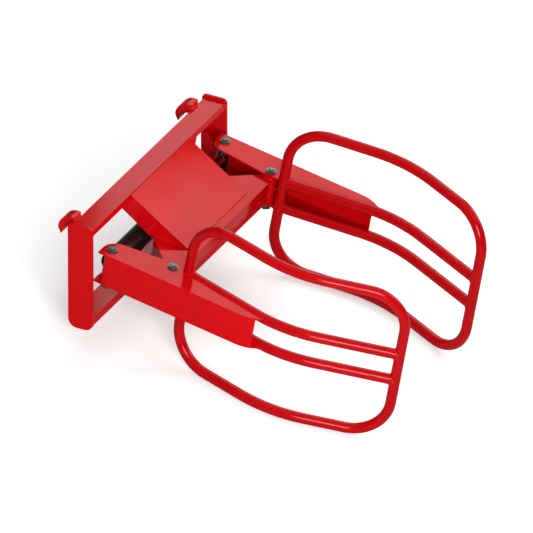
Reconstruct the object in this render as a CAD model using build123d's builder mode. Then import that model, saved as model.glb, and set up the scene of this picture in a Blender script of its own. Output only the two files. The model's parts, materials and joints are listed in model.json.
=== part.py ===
"""Round-bale clamp for a front loader, with a hooked hitch frame.

Millimetres, +Z up.  The two gripping arms swing in level planes about vertical
pivots, and they point forward, which is -Y.  The loader stands behind, at +Y.
Left and right are -X and +X, as seen by someone who faces the open arms.

The hitch frame leans back from the arms by HITCH_LEAN.  Its side profiles are
drawn on planes of their own, as (forward, up) from the rear top corner of its
end plates.  Everything else is drawn from the line between the two arm pivots,
at mid height of the arms, and the whole is set down on the floor at the end.
"""
import os
from math import atan2, cos, radians, sin, sqrt

from build123d import *

# ---- Arms -------------------------------------------------------------------
PIVOT_INSET = 162.0         # pivot centre, inwards from the hitch frame's side
PLATE = 8.0                 # arm and crossbeam plate thickness
ARM_HEIGHT = 152.0          # over the two arm plates
WEB_OUT = 108.0             # outer face of the arm's web, outwards from the pivot
ARM_BACK = 297.0            # rear end of the arm plates, behind the pivot
ARM_REAR_IN = 5.0           # rear inner corner of the arm plates, outwards from the pivot
ARM_REAR_RADIUS = 70.0      # rounding of that corner
ARM_WAIST_IN = 27.0         # inner edge of the arm plates beside the pivot, inwards
WEB_BACK = 263.0            # rear end of the web, behind the pivot
WEB_STRAIGHT = 380.0        # straight part of the web, forward of the pivot
NOSE_RADIUS = 140.0         # the outer edge curves inwards ahead of that
WEB_NOSE_TURN = 27.5        # degrees of that curve on the web
PLATE_NOSE_TURN = 41.0      # degrees of that curve on the plates

# ---- Tube frames ------------------------------------------------------------
TUBE_D = 45.0
TUBE_WALL = 3.0
LOOP_HEIGHT = 706.0         # centre to centre of the top and bottom tube
LOOP_CORNER = 170.0         # bend radius of the four corners
RAIL_SPACING = 130.0        # centre to centre of the two middle rails
RAIL_SHORT = 0.5            # a rail stops this far short of the uprights' centre lines
UPRIGHT_IN = 15.0           # rear upright, inwards from the pivot
UPRIGHT_AHEAD = 69.0        # rear upright, forward of the pivot
REAR_RUN = 357.0            # straight tube that spreads outwards
REAR_SPLAY = 10.0           # degrees, outwards
BEND_RADIUS = 560.0         # the long bend between the two straight runs
FRONT_TURN = 20.0           # degrees, inwards
FRONT_RUN = 343.0           # straight tube that closes inwards

# ---- Pins, bushes and fasteners ---------------------------------------------
PIN_D = 30.0
RUNNING = 0.05              # radial running clearance of a pin in its bush
HEAD_D = 42.0               # flanged head
HEAD_FLANGE = 6.0
HEAD_ACROSS = 24.0          # hexagon on top of the flange
HEAD_HEX_HEIGHT = 6.0
NUT_ACROSS = 46.0
NUT_HEIGHT = 24.0
WASHER_D = 50.0
WASHER_T = 3.0
THREAD_PAST_NUT = 6.0
EYE_GAP = 1.5               # end play of a boss between the arm plates
REAR_PIN_OUT = 62.0         # cylinder pin, outwards from the pivot
REAR_PIN_BACK = 255.0       # cylinder pin, behind the pivot

# ---- Crossbeam between the pivots -------------------------------------------
BEAM_BOX_HEIGHT = 110.0
PIVOT_TUBE_D = 60.0
BUSH_D = 40.0
BUSH_LENGTH = 42.0
BOX_FRONT = 21.0            # front edge of the top plate, forward of the pivots
BOX_BACK = 185.0            # rear edge, behind the pivots
BOX_RAKE = 166.0            # how far in from the pivots that rear edge ends, each side
LIP = 8.0                   # the upright plates stand this far inside the top plate
SIDE_STOP = 10.0            # raked side plates stop this far from the pivot line
NIPPLE_D = 8.0
NIPPLE_LENGTH = 12.0

# ---- Hitch frame ------------------------------------------------------------
HITCH_LEAN = 10.0           # degrees, top away from the arms
PIVOT_AHEAD = 408.5         # pivots, forward of the rear edge of the end plates
PIVOT_DROP = 187.8          # top of the arm plates over the pivots, below the end plates' top
HITCH_WIDTH = 1200.0
END_PLATE_T = 12.0
END_PLATE_HEIGHT = 500.0
END_PLATE_DEPTH = 116.0
TOP_CORNER = 20.0
BOTTOM_CORNER = 40.0
BEAM_DEPTH = 100.0
BEAM_SET_BACK = 12.5        # rear face of both beams, forward of the plates' rear edge
TOP_BEAM_DROP = 14.0        # top face below the plates' top
TOP_BEAM_HEIGHT = 30.0
BOTTOM_BEAM_DROP = 435.0
BOTTOM_BEAM_HEIGHT = 40.0
BEAM_WALL = 5.0
LEFT_HOOK_INSET = 65.0      # hooks, inwards from the hitch frame's sides
RIGHT_HOOK_INSET = 100.0
HOOK_WIDTH = 62.0
HOOK_TOP = 8.0              # above the end plates
HOOK_RADIUS = 62.0          # outer face of the crescent
LUG_INSET = 40.0            # lugs, inwards from the hitch frame's sides
LUG_T = 15.0
LUG_TOP_DROP = 163.0
LUG_FRONT = 85.0            # front edge, forward of the plates' rear edge
LUG_CHAMFER = 40.0
LOCK_EYE_AHEAD = 14.0
LOCK_EYE_DROP = 320.0
LOCK_EYE_D = 32.0
LOCK_EYE_RIM = 15.0

# ---- Neck -------------------------------------------------------------------
COVER_HALF = 261.0
COVER_T = 8.0
COVER_FOOT = 18.0           # lower end of the cover, behind the pivots
COVER_GAP = 3.0             # open slit between the cover and the plates at its two ends
FLANGE_T = 8.0
FLANGE_TOE = 30.0           # height at which the flange's lower edge meets the crossbeam
GUSSET_LEG = 72.0
GUSSET_DEPTH = 66.0
GUSSET_T = 10.0
BRACE_X = 200.0
BRACE_T = 12.0

# ---- Hydraulic cylinder -----------------------------------------------------
BARREL_D = 95.0
BARREL_WALL = 7.5
EYE_D = 54.0
CAP_LENGTH = 57.0           # from the base pin to the bottom of the bore
ROD_SHOWING = 400.0         # from the gland's outer face to the rod pin, arms level
GLAND_LENGTH = 45.0
GLAND_LIP = 10.0
ROD_D = 45.0
PISTON_REACH = 380.0        # from the base pin to the back of the piston, arms level
PISTON_LENGTH = 40.0
SEAL_WIDTH = 6.0
SEAL_DEPTH = 4.0
PORT_D = 30.0
PORT_LENGTH = 16.0
PORT_BORE = 14.0

# ---- Worked out from the sizes above ------------------------------------------
PIVOT_X = HITCH_WIDTH / 2 - PIVOT_INSET
LEFT_HOOK_X = LEFT_HOOK_INSET - HITCH_WIDTH / 2
RIGHT_HOOK_X = HITCH_WIDTH / 2 - RIGHT_HOOK_INSET
LUG_CENTRE = HITCH_WIDTH / 2 - LUG_INSET
TUBE_R = TUBE_D / 2
PIN_R = PIN_D / 2
HALF_ARM = ARM_HEIGHT / 2
HALF_INSIDE = HALF_ARM - PLATE
HALF_BOX = BEAM_BOX_HEIGHT / 2
HALF_LOOP = LOOP_HEIGHT / 2
LEAN_COS = cos(radians(HITCH_LEAN))
LEAN_SIN = sin(radians(HITCH_LEAN))
PIN_HOLE_R = PIN_R + RUNNING
REAR_PIN_X = PIVOT_X + REAR_PIN_OUT
BEAM_FRONT = BEAM_SET_BACK + BEAM_DEPTH
INNER_WIDTH = HITCH_WIDTH - 2 * END_PLATE_T
BOX_INSIDE_BACK = BOX_BACK - LIP
BOX_REAR_HALF = PIVOT_X - BOX_RAKE
BARREL_R = BARREL_D / 2
BORE_R = BARREL_R - BARREL_WALL
ROD_R = ROD_D / 2

FORWARD = Vector(0, -LEAN_COS, LEAN_SIN)    # forward along the hitch frame
HITCH_DATUM = Vector(
    0,
    PIVOT_AHEAD * LEAN_COS + PIVOT_DROP * LEAN_SIN,
    HALF_ARM + PIVOT_DROP * LEAN_COS - PIVOT_AHEAD * LEAN_SIN,
)


def hitch_plane(x):
    """Side view of the hitch frame at x: local (forward, up), normal -X."""
    return Plane(origin=HITCH_DATUM + Vector(x, 0, 0), x_dir=FORWARD, z_dir=(-1, 0, 0))


def side_plane(x):
    """Side view of the arms' frame at x: local (forward, up), normal -X."""
    return Plane(origin=(x, 0, 0), x_dir=(0, -1, 0), z_dir=(-1, 0, 0))


def from_hitch(forward, up):
    """A point of the hitch frame, as (forward, up) on the arms' side view."""
    point = HITCH_DATUM + FORWARD * forward + Vector(0, LEAN_SIN, LEAN_COS) * up
    return -point.Y, point.Z


pieces = {}


def keep(name, part):
    """Label a finished piece and keep it for export."""
    part.label = name
    pieces[name] = part


def keep_pair(name, right_part):
    """Keep a right-hand piece and its mirror image on the left."""
    keep("right_" + name, right_part)
    keep("left_" + name, mirror(right_part, about=Plane.YZ))


def disc(radius, low, high, x=0.0, y=0.0, bore=0.0):
    """An upright disc or ring between two heights."""
    with BuildPart() as ring:
        with BuildSketch(Plane.XY.offset(low)):
            with Locations((x, y)):
                Circle(radius)
                if bore:
                    Circle(bore, mode=Mode.SUBTRACT)
        extrude(amount=high - low)
    return ring.part


def along_x(radius, start, end, bore=0.0, y=REAR_PIN_BACK):
    """A round bar or tube that lies along X on the cylinder's centre line."""
    with BuildPart() as bar:
        with BuildSketch(Plane(origin=(start, y, 0), z_dir=(1, 0, 0))):
            Circle(radius)
            if bore:
                Circle(bore, mode=Mode.SUBTRACT)
        extrude(amount=end - start)
    return bar.part


# ---- Plan of the tube frame, right-hand side ----------------------------------
def heading(degrees_out):
    """Unit vector forward, turned outwards by an angle."""
    return Vector(sin(radians(degrees_out)), -cos(radians(degrees_out)), 0)


def square_out(degrees_out):
    """Unit vector to the right of heading, seen from above."""
    return Vector(cos(radians(degrees_out)), sin(radians(degrees_out)), 0)


plan_start = Vector(PIVOT_X - UPRIGHT_IN, -UPRIGHT_AHEAD, 0)
rear_heading = heading(REAR_SPLAY)
front_heading = heading(-FRONT_TURN)
plan_bend_start = plan_start + rear_heading * REAR_RUN
bend_centre = plan_bend_start - square_out(REAR_SPLAY) * BEND_RADIUS
plan_bend_middle = bend_centre + square_out((REAR_SPLAY - FRONT_TURN) / 2) * BEND_RADIUS
plan_bend_end = bend_centre + square_out(-FRONT_TURN) * BEND_RADIUS
plan_end = plan_bend_end + front_heading * FRONT_RUN


def plan_run(height, start_cut, end_cut):
    """Draw the plan curve at a height, shortened at both ends."""
    up = Vector(0, 0, height)
    Line(plan_start + rear_heading * start_cut + up, plan_bend_start + up)
    ThreePointArc(plan_bend_start + up, plan_bend_middle + up, plan_bend_end + up)
    Line(plan_bend_end + up, plan_end - front_heading * end_cut + up)


def half_loop_path(side):
    """Upper (side 1) or lower (side -1) half of a tube frame's centre line."""
    height = side * HALF_LOOP
    turn = side * LOOP_CORNER
    nearly = LOOP_CORNER * (1 - sqrt(0.5))
    level = Vector(0, 0, height)
    with BuildLine() as path:
        Line(plan_start, plan_start + Vector(0, 0, height - turn))
        ThreePointArc(
            plan_start + Vector(0, 0, height - turn),
            plan_start + rear_heading * nearly + Vector(0, 0, height - side * nearly),
            plan_start + rear_heading * LOOP_CORNER + level,
        )
        plan_run(height, LOOP_CORNER, LOOP_CORNER)
        ThreePointArc(
            plan_end - front_heading * LOOP_CORNER + level,
            plan_end - front_heading * nearly + Vector(0, 0, height - side * nearly),
            plan_end + Vector(0, 0, height - turn),
        )
        Line(plan_end + Vector(0, 0, height - turn), plan_end)
    return path.wire()


def rail_path(height):
    """Centre line of a middle rail, from upright to upright."""
    with BuildLine() as path:
        plan_run(height, RAIL_SHORT, RAIL_SHORT)
    return path.wire()


def swept(path, radius):
    """A round bar along a path."""
    with BuildPart() as bar:
        with BuildSketch(Plane(origin=path @ 0, z_dir=path % 0)):
            Circle(radius)
        sweep(path=path)
    return bar.part


loop_paths = [half_loop_path(side) for side in (1, -1)]
rail_height = RAIL_SPACING / 2

with BuildPart() as loop_bar:
    for loop_path in loop_paths:
        add(swept(loop_path, TUBE_R))

with BuildPart() as loop_tube:
    add(loop_bar.part)
    for loop_path in loop_paths:
        add(swept(loop_path, TUBE_R - TUBE_WALL), mode=Mode.SUBTRACT)
keep_pair("loop", loop_tube.part)

upright_reach = HALF_LOOP - LOOP_CORNER
upright_bars = [
    disc(TUBE_R, -upright_reach, upright_reach, foot.X, foot.Y) for foot in (plan_start, plan_end)
]
rail_bars = {}
for rail_name, rail_level in (("upper_rail", rail_height), ("lower_rail", -rail_height)):
    centre_line = rail_path(rail_level)
    rail_bars[rail_name] = swept(centre_line, TUBE_R)
    with BuildPart() as rail_tube:
        add(rail_bars[rail_name])
        add(swept(centre_line, TUBE_R - TUBE_WALL), mode=Mode.SUBTRACT)
        for upright_bar in upright_bars:
            add(upright_bar, mode=Mode.SUBTRACT)
    keep_pair(rail_name, rail_tube.part)


# ---- Arm plates ---------------------------------------------------------------
def nose_point(turn, inset=0.0):
    """A point on the curved nose of the arm's outer edge."""
    centre_x = PIVOT_X + WEB_OUT - NOSE_RADIUS
    radius = NOSE_RADIUS - inset
    return centre_x + radius * cos(radians(turn)), -WEB_STRAIGHT - radius * sin(radians(turn))


def arm_outline():
    """Outline of the arm plates, whose front inner edge runs along the rails."""
    outer = PIVOT_X + WEB_OUT
    nose = nose_point(PLATE_NOSE_TURN)
    with BuildLine() as outline:
        Line((outer, ARM_BACK), (outer, -WEB_STRAIGHT))
        ThreePointArc((outer, -WEB_STRAIGHT), nose_point(PLATE_NOSE_TURN / 2), nose)
        Polyline(
            nose,
            (plan_bend_start.X, nose[1]),
            (plan_bend_start.X, plan_bend_start.Y),
            (plan_start.X, plan_start.Y),
            (PIVOT_X - ARM_WAIST_IN, plan_start.Y + TUBE_R),
            (PIVOT_X - ARM_WAIST_IN, ARM_WAIST_IN),
            (PIVOT_X + ARM_REAR_IN, ARM_BACK),
            (outer, ARM_BACK),
        )
    return outline.line


for plate_name, plate_low in (("arm_top_plate", HALF_INSIDE), ("arm_bottom_plate", -HALF_ARM)):
    with BuildPart() as arm_plate:
        with BuildSketch(Plane.XY.offset(plate_low)) as arm_sketch:
            add(arm_outline())
            make_face()
            rear_corners = arm_sketch.vertices().group_by(Axis.Y)[-1].sort_by(Axis.X)
            fillet(rear_corners[0], ARM_REAR_RADIUS)
            with Locations((PIVOT_X, 0), (REAR_PIN_X, REAR_PIN_BACK)):
                Circle(PIN_HOLE_R, mode=Mode.SUBTRACT)
        extrude(amount=PLATE)
        add(loop_bar.part, mode=Mode.SUBTRACT)
        for rail_bar in rail_bars.values():
            add(rail_bar, mode=Mode.SUBTRACT)
    keep_pair(plate_name, arm_plate.part.solids().sort_by(SortBy.VOLUME)[-1])

with BuildPart() as arm_web:
    with BuildSketch(Plane.XY.offset(-HALF_INSIDE)):
        with BuildLine():
            web_outer = PIVOT_X + WEB_OUT
            web_inner = web_outer - PLATE
            Line((web_outer, WEB_BACK), (web_outer, -WEB_STRAIGHT))
            ThreePointArc(
                (web_outer, -WEB_STRAIGHT), nose_point(WEB_NOSE_TURN / 2), nose_point(WEB_NOSE_TURN)
            )
            Line(nose_point(WEB_NOSE_TURN), nose_point(WEB_NOSE_TURN, PLATE))
            ThreePointArc(
                nose_point(WEB_NOSE_TURN, PLATE),
                nose_point(WEB_NOSE_TURN / 2, PLATE),
                (web_inner, -WEB_STRAIGHT),
            )
            Polyline((web_inner, -WEB_STRAIGHT), (web_inner, WEB_BACK), (web_outer, WEB_BACK))
        make_face()
    extrude(amount=2 * HALF_INSIDE)
keep_pair("arm_web", arm_web.part)


# ---- Pins with their heads, nuts and washers -----------------------------------
def hex_prism(x, y, low, height, across, bore=0.0):
    """A hexagon head or nut with its corners turned down."""
    with BuildPart() as prism:
        with BuildSketch(Plane.XY.offset(low)):
            with Locations((x, y)):
                RegularPolygon(across / 2, 6, major_radius=False, rotation=15)
                if bore:
                    Circle(bore, mode=Mode.SUBTRACT)
        extrude(amount=height)
        add(disc(across * 0.56, low, low + height, x, y), mode=Mode.INTERSECT)
    return prism.part


def pin_set(name, x, y):
    """A headed pin through both arm plates, with its nut and two washers."""
    head_seat = HALF_ARM + WASHER_T
    nut_seat = -HALF_ARM - WASHER_T - NUT_HEIGHT
    with BuildPart() as bolt:
        add(disc(PIN_R, nut_seat - THREAD_PAST_NUT, head_seat, x, y))
        add(disc(HEAD_D / 2, head_seat, head_seat + HEAD_FLANGE, x, y))
        add(hex_prism(x, y, head_seat + HEAD_FLANGE, HEAD_HEX_HEIGHT, HEAD_ACROSS))
    keep_pair(name + "_pin", bolt.part)
    keep_pair(name + "_nut", hex_prism(x, y, nut_seat, NUT_HEIGHT, NUT_ACROSS, PIN_R))
    with BuildPart() as washers:
        add(disc(WASHER_D / 2, HALF_ARM, head_seat, x, y, PIN_HOLE_R))
        add(disc(WASHER_D / 2, -HALF_ARM - WASHER_T, -HALF_ARM, x, y, PIN_HOLE_R))
    keep_pair(name + "_washers", washers.part)


pin_set("pivot", PIVOT_X, 0)
pin_set("cylinder", REAR_PIN_X, REAR_PIN_BACK)

# ---- Crossbeam: a box that ends in a tube at each pivot -------------------------
boss_half = HALF_INSIDE - EYE_GAP
keep_pair("pivot_tube", disc(PIVOT_TUBE_D / 2, -boss_half, boss_half, PIVOT_X, 0, BUSH_D / 2))

with BuildPart() as bushes:
    add(disc(BUSH_D / 2, boss_half - BUSH_LENGTH, boss_half, PIVOT_X, 0, PIN_HOLE_R))
    add(disc(BUSH_D / 2, -boss_half, BUSH_LENGTH - boss_half, PIVOT_X, 0, PIN_HOLE_R))
keep_pair("pivot_bushes", bushes.part)

pivot_tube_bars = [disc(PIVOT_TUBE_D / 2, -boss_half, boss_half, x) for x in (-PIVOT_X, PIVOT_X)]

for box_name, box_low in (("top", HALF_BOX - PLATE), ("bottom", -HALF_BOX)):
    with BuildPart() as box_plate:
        with BuildSketch(Plane.XY.offset(box_low)):
            with BuildLine():
                Polyline(
                    (-PIVOT_X, -BOX_FRONT),
                    (PIVOT_X, -BOX_FRONT),
                    (PIVOT_X, BOX_BACK - BOX_RAKE),
                    (BOX_REAR_HALF, BOX_BACK),
                    (-BOX_REAR_HALF, BOX_BACK),
                    (-PIVOT_X, BOX_BACK - BOX_RAKE),
                    close=True,
                )
            make_face()
        extrude(amount=PLATE)
        for tube_bar in pivot_tube_bars:
            add(tube_bar, mode=Mode.SUBTRACT)
    keep("crossbeam_" + box_name + "_plate", box_plate.part.solids().sort_by(SortBy.VOLUME)[-1])

box_inside = 2 * (HALF_BOX - PLATE)
front_y = -BOX_FRONT + LIP + PLATE / 2
with BuildPart() as front_plate:
    with BuildSketch(Plane.XY.offset(-HALF_BOX + PLATE)):
        with Locations((0, front_y)):
            Rectangle(2 * PIVOT_X, PLATE)
    extrude(amount=box_inside)
    for tube_bar in pivot_tube_bars:
        add(tube_bar, mode=Mode.SUBTRACT)
keep("crossbeam_front_plate", front_plate.part.solids().sort_by(SortBy.VOLUME)[-1])

rear_half = BOX_REAR_HALF - LIP
with BuildPart() as rear_plate:
    with BuildSketch(Plane.XY.offset(-HALF_BOX + PLATE)):
        with Locations((0, BOX_INSIDE_BACK - PLATE / 2)):
            Rectangle(2 * rear_half, PLATE)
    extrude(amount=box_inside)
keep("crossbeam_rear_plate", rear_plate.part)

rake_end_x = PIVOT_X - SIDE_STOP
rake_end_y = BOX_INSIDE_BACK - (rake_end_x - rear_half)
with BuildPart() as side_plate:
    with BuildSketch(Plane.XY.offset(-HALF_BOX + PLATE)):
        with BuildLine():
            Polyline(
                (rear_half, BOX_INSIDE_BACK),
                (rake_end_x, rake_end_y),
                (rake_end_x - PLATE, rake_end_y),
                (rear_half, BOX_INSIDE_BACK - PLATE),
                close=True,
            )
        make_face()
    extrude(amount=box_inside)
    add(pivot_tube_bars[1], mode=Mode.SUBTRACT)
keep_pair("crossbeam_side", side_plate.part.solids().sort_by(SortBy.VOLUME)[-1])

with BuildPart() as nipples:
    for nipple_x in (-PIVOT_X, PIVOT_X):
        with BuildSketch(Plane(origin=(nipple_x, -PIVOT_TUBE_D / 2, 0), z_dir=(0, -1, 0))):
            Circle(NIPPLE_D / 2)
        extrude(amount=NIPPLE_LENGTH, both=True)
    for tube_bar in pivot_tube_bars:
        add(tube_bar, mode=Mode.SUBTRACT)
keep("grease_nipples", nipples.part)


# ---- Hitch frame ----------------------------------------------------------------
def box_beam(drop, height):
    """A hollow rectangular beam between the end plates."""
    with BuildPart() as beam:
        with BuildSketch(hitch_plane(0)):
            with Locations((BEAM_SET_BACK + BEAM_DEPTH / 2, -drop - height / 2)):
                Rectangle(BEAM_DEPTH, height)
                Rectangle(BEAM_DEPTH - 2 * BEAM_WALL, height - 2 * BEAM_WALL, mode=Mode.SUBTRACT)
        extrude(amount=INNER_WIDTH / 2, both=True)
    return beam.part


keep("top_beam", box_beam(TOP_BEAM_DROP, TOP_BEAM_HEIGHT))
keep("bottom_beam", box_beam(BOTTOM_BEAM_DROP, BOTTOM_BEAM_HEIGHT))

with BuildPart() as end_plate:
    with BuildSketch(hitch_plane(HITCH_WIDTH / 2)) as end_sketch:
        with Locations((END_PLATE_DEPTH / 2, -END_PLATE_HEIGHT / 2)):
            Rectangle(END_PLATE_DEPTH, END_PLATE_HEIGHT)
        fillet(end_sketch.vertices().group_by(Axis.Y)[-1], TOP_CORNER)
        fillet(end_sketch.vertices().group_by(Axis.Y)[0], BOTTOM_CORNER)
    extrude(amount=END_PLATE_T)
keep_pair("end_plate", end_plate.part)

# The hooks are thick crescents that reach rearwards and down over the carrier's top rail.
hook_bend_up = HOOK_TOP - HOOK_RADIUS
diagonal = sqrt(0.5)
for hook_name, hook_x in (("left_hook", LEFT_HOOK_X), ("right_hook", RIGHT_HOOK_X)):
    with BuildPart() as hook:
        with BuildSketch(hitch_plane(hook_x)):
            with BuildLine():
                Line((BEAM_SET_BACK, HOOK_TOP - 2), (-1.5, HOOK_TOP))
                ThreePointArc(
                    (-1.5, HOOK_TOP),
                    (-1.5 - HOOK_RADIUS * diagonal, hook_bend_up + HOOK_RADIUS * diagonal),
                    (-1.5 - HOOK_RADIUS, hook_bend_up),
                )
                Line((-1.5 - HOOK_RADIUS, hook_bend_up), (-51, -84))
                ThreePointArc((-51, -84), (-36, -55), (-10, -34))
                Polyline((-10, -34), (BEAM_SET_BACK, -30), (BEAM_SET_BACK, HOOK_TOP - 2))
            make_face()
        extrude(amount=HOOK_WIDTH / 2, both=True)
    keep(hook_name, hook.part)

with BuildPart() as lock_lug:
    with BuildSketch(hitch_plane(LUG_CENTRE)):
        with BuildLine():
            Polyline(
                (BEAM_SET_BACK, -BOTTOM_BEAM_DROP),
                (LUG_FRONT, -BOTTOM_BEAM_DROP),
                (LUG_FRONT, -LUG_TOP_DROP - 1.5 * LUG_CHAMFER),
                (LUG_FRONT - LUG_CHAMFER, -LUG_TOP_DROP),
                (LOCK_EYE_AHEAD, -LUG_TOP_DROP),
                (LOCK_EYE_AHEAD, -LOCK_EYE_DROP),
                close=True,
            )
        make_face()
        with Locations((LOCK_EYE_AHEAD, -LOCK_EYE_DROP)):
            Circle(LOCK_EYE_D / 2 + LOCK_EYE_RIM)
            Circle(LOCK_EYE_D / 2, mode=Mode.SUBTRACT)
    extrude(amount=LUG_T / 2, both=True)
keep_pair("lock_lug", lock_lug.part)

rib_width = HITCH_WIDTH / 2 - END_PLATE_T - LUG_CENTRE - LUG_T / 2
with BuildPart() as lock_rib:
    with BuildSketch(hitch_plane(HITCH_WIDTH / 2 - END_PLATE_T)):
        with Locations((LOCK_EYE_AHEAD + 16, -LUG_TOP_DROP - PLATE / 2)):
            Rectangle(30, PLATE)
        with Locations((LUG_FRONT - PLATE / 2, -LUG_TOP_DROP - 3 * LUG_CHAMFER)):
            Rectangle(PLATE, 2 * LUG_CHAMFER)
    extrude(amount=rib_width)
keep_pair("lock_ribs", lock_rib.part)

# ---- Neck: a sloping cover with a flange under each edge ---------------------------
cover_top = from_hitch(BEAM_FRONT + COVER_GAP, -TOP_BEAM_DROP)
cover_foot = (-COVER_FOOT, HALF_BOX + COVER_GAP)
cover_slope = atan2(cover_top[1] - cover_foot[1], cover_foot[0] - cover_top[0])
cover_upright = COVER_T / cos(cover_slope + radians(HITCH_LEAN))
under_top = from_hitch(BEAM_FRONT + COVER_GAP, -TOP_BEAM_DROP - cover_upright)
under_foot = (-COVER_FOOT - COVER_T / sin(cover_slope), cover_foot[1])
flange_heel = from_hitch(BEAM_FRONT, -TOP_BEAM_DROP - cover_upright)
flange_tip = (under_foot[0], HALF_BOX)

with BuildPart() as cover:
    with BuildSketch(side_plane(0)):
        with BuildLine():
            Polyline(cover_top, cover_foot, under_foot, under_top, close=True)
        make_face()
    extrude(amount=COVER_HALF, both=True)
keep("neck_cover", cover.part)

with BuildPart() as flange:
    with BuildSketch(side_plane(COVER_HALF)):
        with BuildLine():
            Polyline(
                from_hitch(BEAM_SET_BACK, -TOP_BEAM_DROP - TOP_BEAM_HEIGHT),
                from_hitch(BEAM_FRONT, -TOP_BEAM_DROP - TOP_BEAM_HEIGHT),
                flange_heel,
                under_top,
                under_foot,
                flange_tip,
                (-BOX_BACK, HALF_BOX),
                (-BOX_BACK, HALF_BOX - PLATE),
                (-BOX_INSIDE_BACK, HALF_BOX - PLATE),
                (-BOX_INSIDE_BACK, FLANGE_TOE),
                close=True,
            )
        make_face()
    extrude(amount=FLANGE_T)
keep_pair("neck_flange", flange.part)

gusset_plane = Plane(
    origin=HITCH_DATUM + FORWARD * BEAM_FRONT - FORWARD * GUSSET_T,
    x_dir=(1, 0, 0),
    z_dir=FORWARD,
)
gusset_top = -TOP_BEAM_DROP - TOP_BEAM_HEIGHT
with BuildPart() as gusset:
    with BuildSketch(gusset_plane):
        with BuildLine():
            Polyline(
                (COVER_HALF, gusset_top),
                (COVER_HALF + GUSSET_LEG, gusset_top),
                (COVER_HALF + GUSSET_LEG - 12, gusset_top - 28),
                (COVER_HALF, gusset_top - GUSSET_DEPTH),
                close=True,
            )
        make_face()
    extrude(amount=GUSSET_T)
keep("neck_gusset", gusset.part)

with BuildPart() as brace:
    with BuildSketch(side_plane(BRACE_X)):
        with BuildLine():
            Polyline(
                (-BOX_INSIDE_BACK / 2, -HALF_BOX),
                (-BOX_INSIDE_BACK, -HALF_BOX),
                from_hitch(BEAM_FRONT - 50, -BOTTOM_BEAM_DROP),
                from_hitch(BEAM_FRONT, -BOTTOM_BEAM_DROP),
                from_hitch(BEAM_FRONT, -BOTTOM_BEAM_DROP - BOTTOM_BEAM_HEIGHT + 8),
                close=True,
            )
        make_face()
    extrude(amount=BRACE_T)
keep_pair("lower_brace", brace.part)


# ---- Hydraulic cylinder, barrel on the left arm ------------------------------------
def cross_eye(x):
    """An upright eye tube that fills the space between the arm plates."""
    return disc(EYE_D / 2, -boss_half, boss_half, x, REAR_PIN_BACK, PIN_HOLE_R)


base_x = -REAR_PIN_X
rod_pin_x = REAR_PIN_X
bore_bottom = base_x + CAP_LENGTH
gland_face = rod_pin_x - ROD_SHOWING
piston_back = base_x + PISTON_REACH

keep("barrel_eye", cross_eye(base_x))
with BuildPart() as barrel_cap:
    add(along_x(BARREL_R, base_x + EYE_D / 4, bore_bottom))
    add(disc(EYE_D / 2, -BARREL_D, BARREL_D, base_x, REAR_PIN_BACK), mode=Mode.SUBTRACT)
keep("barrel_cap", barrel_cap.part)
port_places = (bore_bottom + PORT_D, gland_face - GLAND_LENGTH - PORT_D / 2)


def port_bar(x, radius):
    """A round bar through the rear wall of the barrel, where a port sits."""
    with BuildPart() as bar:
        with BuildSketch(Plane(origin=(x, REAR_PIN_BACK, 0), z_dir=(0, 1, 0))):
            Circle(radius)
        extrude(amount=BARREL_R + PORT_LENGTH)
    return bar.part


with BuildPart() as barrel_tube:
    add(along_x(BARREL_R, bore_bottom, gland_face - GLAND_LIP, BORE_R))
    for port_x in port_places:
        add(port_bar(port_x, PORT_BORE / 2), mode=Mode.SUBTRACT)
keep("barrel_tube", barrel_tube.part)

with BuildPart() as gland:
    add(along_x(BORE_R, gland_face - GLAND_LENGTH, gland_face - GLAND_LIP))
    add(along_x(BARREL_R, gland_face - GLAND_LIP, gland_face))
    add(along_x(ROD_R + RUNNING, base_x, rod_pin_x), mode=Mode.SUBTRACT)
keep("gland", gland.part)

with BuildPart() as ports:
    for port_x in port_places:
        add(port_bar(port_x, PORT_D / 2))
    add(along_x(BARREL_R, base_x, rod_pin_x), mode=Mode.SUBTRACT)
    for port_x in port_places:
        add(port_bar(port_x, PORT_BORE / 2), mode=Mode.SUBTRACT)
keep("barrel_ports", ports.part)

keep("rod_eye", cross_eye(rod_pin_x))
with BuildPart() as rod:
    add(along_x(ROD_R, piston_back, rod_pin_x - EYE_D / 4))
    add(disc(EYE_D / 2, -BARREL_D, BARREL_D, rod_pin_x, REAR_PIN_BACK), mode=Mode.SUBTRACT)
keep("rod", rod.part)

piston_r = BORE_R - RUNNING
seal_start = piston_back + (PISTON_LENGTH - SEAL_WIDTH) / 2
seal_end = seal_start + SEAL_WIDTH
piston_seal = along_x(piston_r, seal_start, seal_end, piston_r - SEAL_DEPTH)
with BuildPart() as piston:
    add(along_x(piston_r, piston_back, piston_back + PISTON_LENGTH, ROD_R))
    add(piston_seal, mode=Mode.SUBTRACT)
keep("piston", piston.part)
keep("piston_seal", piston_seal)

# ---- Set the whole down on the floor, centred, and write the pieces ------------------
boxes = [part.bounding_box() for part in pieces.values()]
rear_end = max(box.max.Y for box in boxes)
front_end = min(box.min.Y for box in boxes)
floor = min(box.min.Z for box in boxes)
placing = Location((0, -(rear_end + front_end) / 2, -floor))

os.makedirs("parts", exist_ok=True)
for name, part in pieces.items():
    placed = part.moved(placing)
    placed.label = name
    export_step(placed, "parts/" + name + ".step")
print(len(pieces), "pieces; pivots at y", placing.position.Y, "z", placing.position.Z)
print("length", rear_end - front_end, "height", max(box.max.Z for box in boxes) - floor)
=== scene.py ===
"""Looks of a round-bale clamp for a front loader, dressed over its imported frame.

Metres throughout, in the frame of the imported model: the arms point along -Y,
+Z is up, and left is -X.
"""

from __future__ import annotations

import json
import logging
import math
from collections.abc import Iterable, Sequence
from dataclasses import dataclass, field
from enum import Enum

import bmesh
import bpy
from mathutils import Matrix, Vector

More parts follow.
